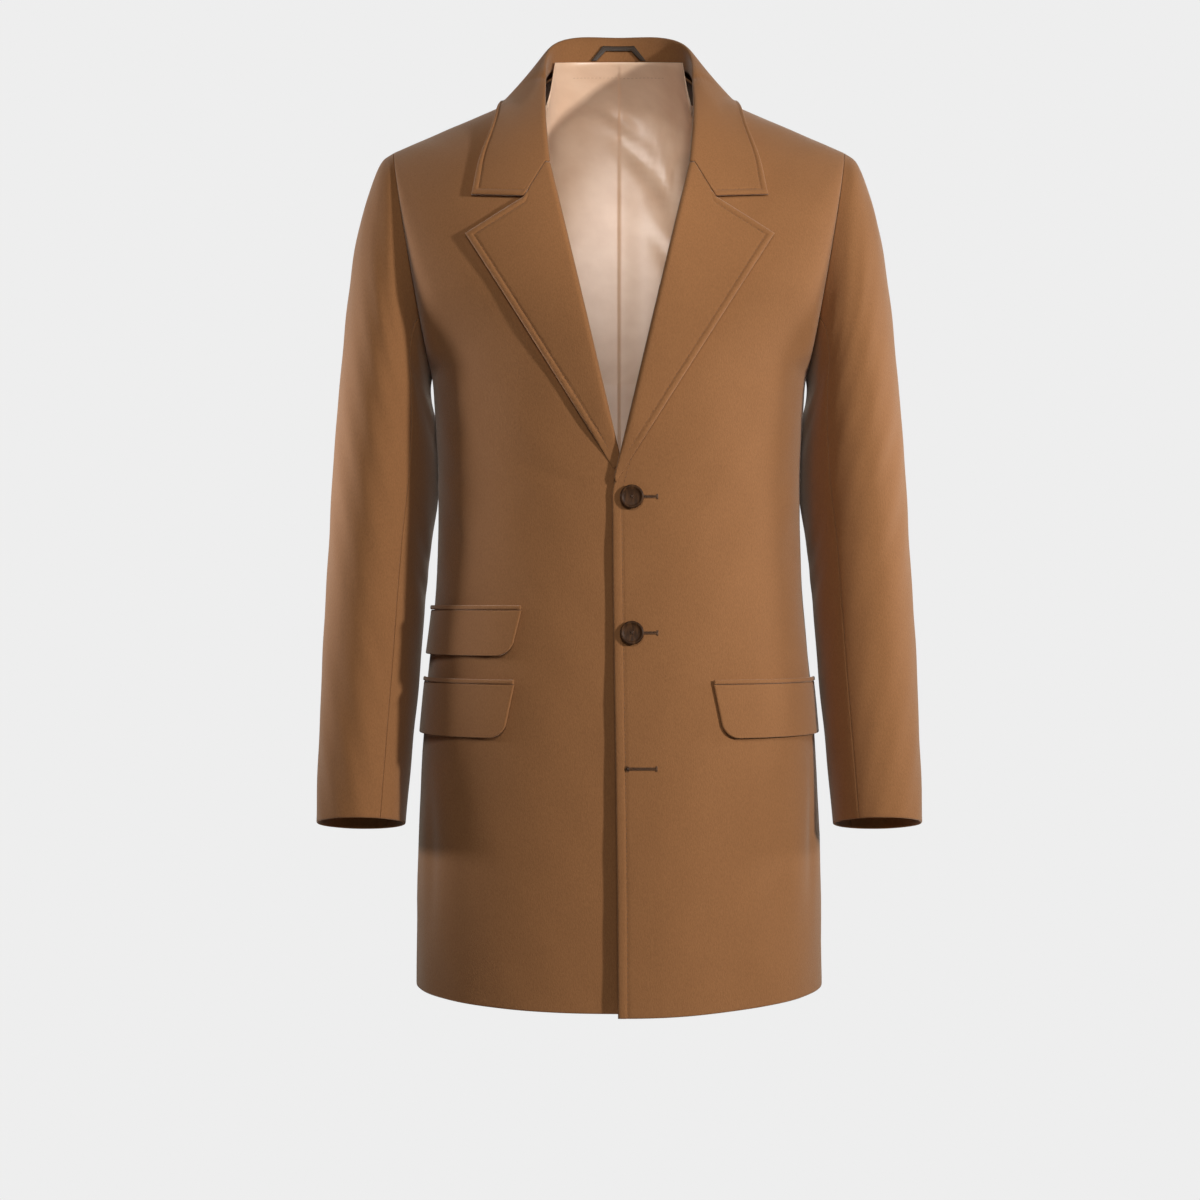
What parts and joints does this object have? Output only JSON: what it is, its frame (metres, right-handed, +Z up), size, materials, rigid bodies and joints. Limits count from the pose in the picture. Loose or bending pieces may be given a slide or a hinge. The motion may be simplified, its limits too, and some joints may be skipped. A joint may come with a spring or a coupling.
{
  "type": "single-breasted wool overcoat",
  "caption": "Hollow camel wool overcoat as worn: notched lapels, flap and ticket pockets, two-piece sleeves, horn buttons and a satin-lined back.",
  "frame": {"origin": "centre of the neck opening at the height of the shoulder seams' inner ends, where a wearer's shoulders carry the coat", "axes": "+Z up, -Y the way the coat faces, +X towards the wearer's left"},
  "size_m": [0.5954, 0.3048, 0.9715],
  "materials": {
    "camel_wool": "brushed woollen melton, dull with a soft nap",
    "cream_satin": "satin lining with a soft sheen",
    "dark_braid": "flat woven braid",
    "dark_horn": "polished dark horn"
  },
  "bodies": {
    "root": {"front_left": "camel_wool", "front_right": "camel_wool", "back": "camel_wool", "sleeve_top_left": "camel_wool", "sleeve_top_right": "camel_wool", "sleeve_under_left": "camel_wool", "sleeve_under_right": "camel_wool", "collar": "camel_wool", "lapel_left": "camel_wool", "lapel_right": "camel_wool", "flap_hip_left": "camel_wool", "flap_hip_right": "camel_wool", "flap_ticket_right": "camel_wool", "welt_hip_left": "camel_wool", "welt_hip_right": "camel_wool", "welt_ticket_right": "camel_wool", "lining_back": "cream_satin", "hanger_loop": "dark_braid", "button_top": "dark_horn", "button_middle": "dark_horn"}
  },
  "joints": []
}
